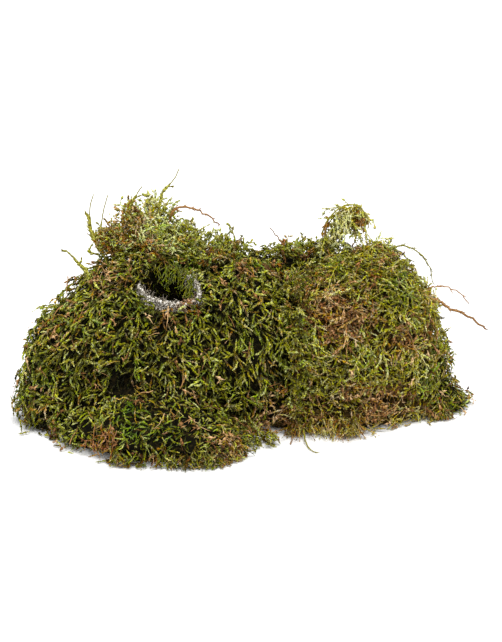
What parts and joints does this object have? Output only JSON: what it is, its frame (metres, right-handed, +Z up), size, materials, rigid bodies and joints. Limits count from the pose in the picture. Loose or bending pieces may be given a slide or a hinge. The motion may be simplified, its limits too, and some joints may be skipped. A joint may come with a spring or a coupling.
{
  "type": "moss clump",
  "caption": "Loose clump of green and brown forest-floor moss with a hollow in its shoulder, loose tufts on top and a flat underside.",
  "frame": {"origin": "on the flat underside, below the middle of the clump, at the height of the surface it rests on", "axes": "+X runs along the clump's length towards the end with the long brown runner, -Y is the front with the hollow, +Z is up"},
  "size_m": [0.286, 0.1579, 0.1551],
  "materials": {
    "olive_moss": "matte",
    "fresh_moss": "matte",
    "mixed_moss": "matte",
    "straw_moss": "matte",
    "pale_moss": "matte",
    "pale_crust": "matte",
    "green_stem": "matte",
    "brown_stem": "matte"
  },
  "bodies": {
    "root": {"front_mat": "olive_moss", "right_mat": "mixed_moss", "rear_mat": "olive_moss", "toe_mat": "straw_moss", "foot_mat": "fresh_moss", "tail_mat": "olive_moss", "crown_tuft": "pale_moss", "arch_tuft": "pale_moss", "pale_crust": "pale_crust", "crown_stem_tall": "green_stem", "crown_stem_short": "green_stem", "crown_runner": "brown_stem", "left_stem_outer": "green_stem", "left_stem_inner": "green_stem", "left_sprig": "green_stem", "ridge_twig_left": "green_stem", "ridge_twig_right": "brown_stem", "arch_runner": "green_stem", "right_loop": "green_stem", "right_runner_long": "brown_stem", "right_runner_fine": "brown_stem", "rootlet_left": "brown_stem", "rootlet_right": "brown_stem"}
  },
  "joints": []
}
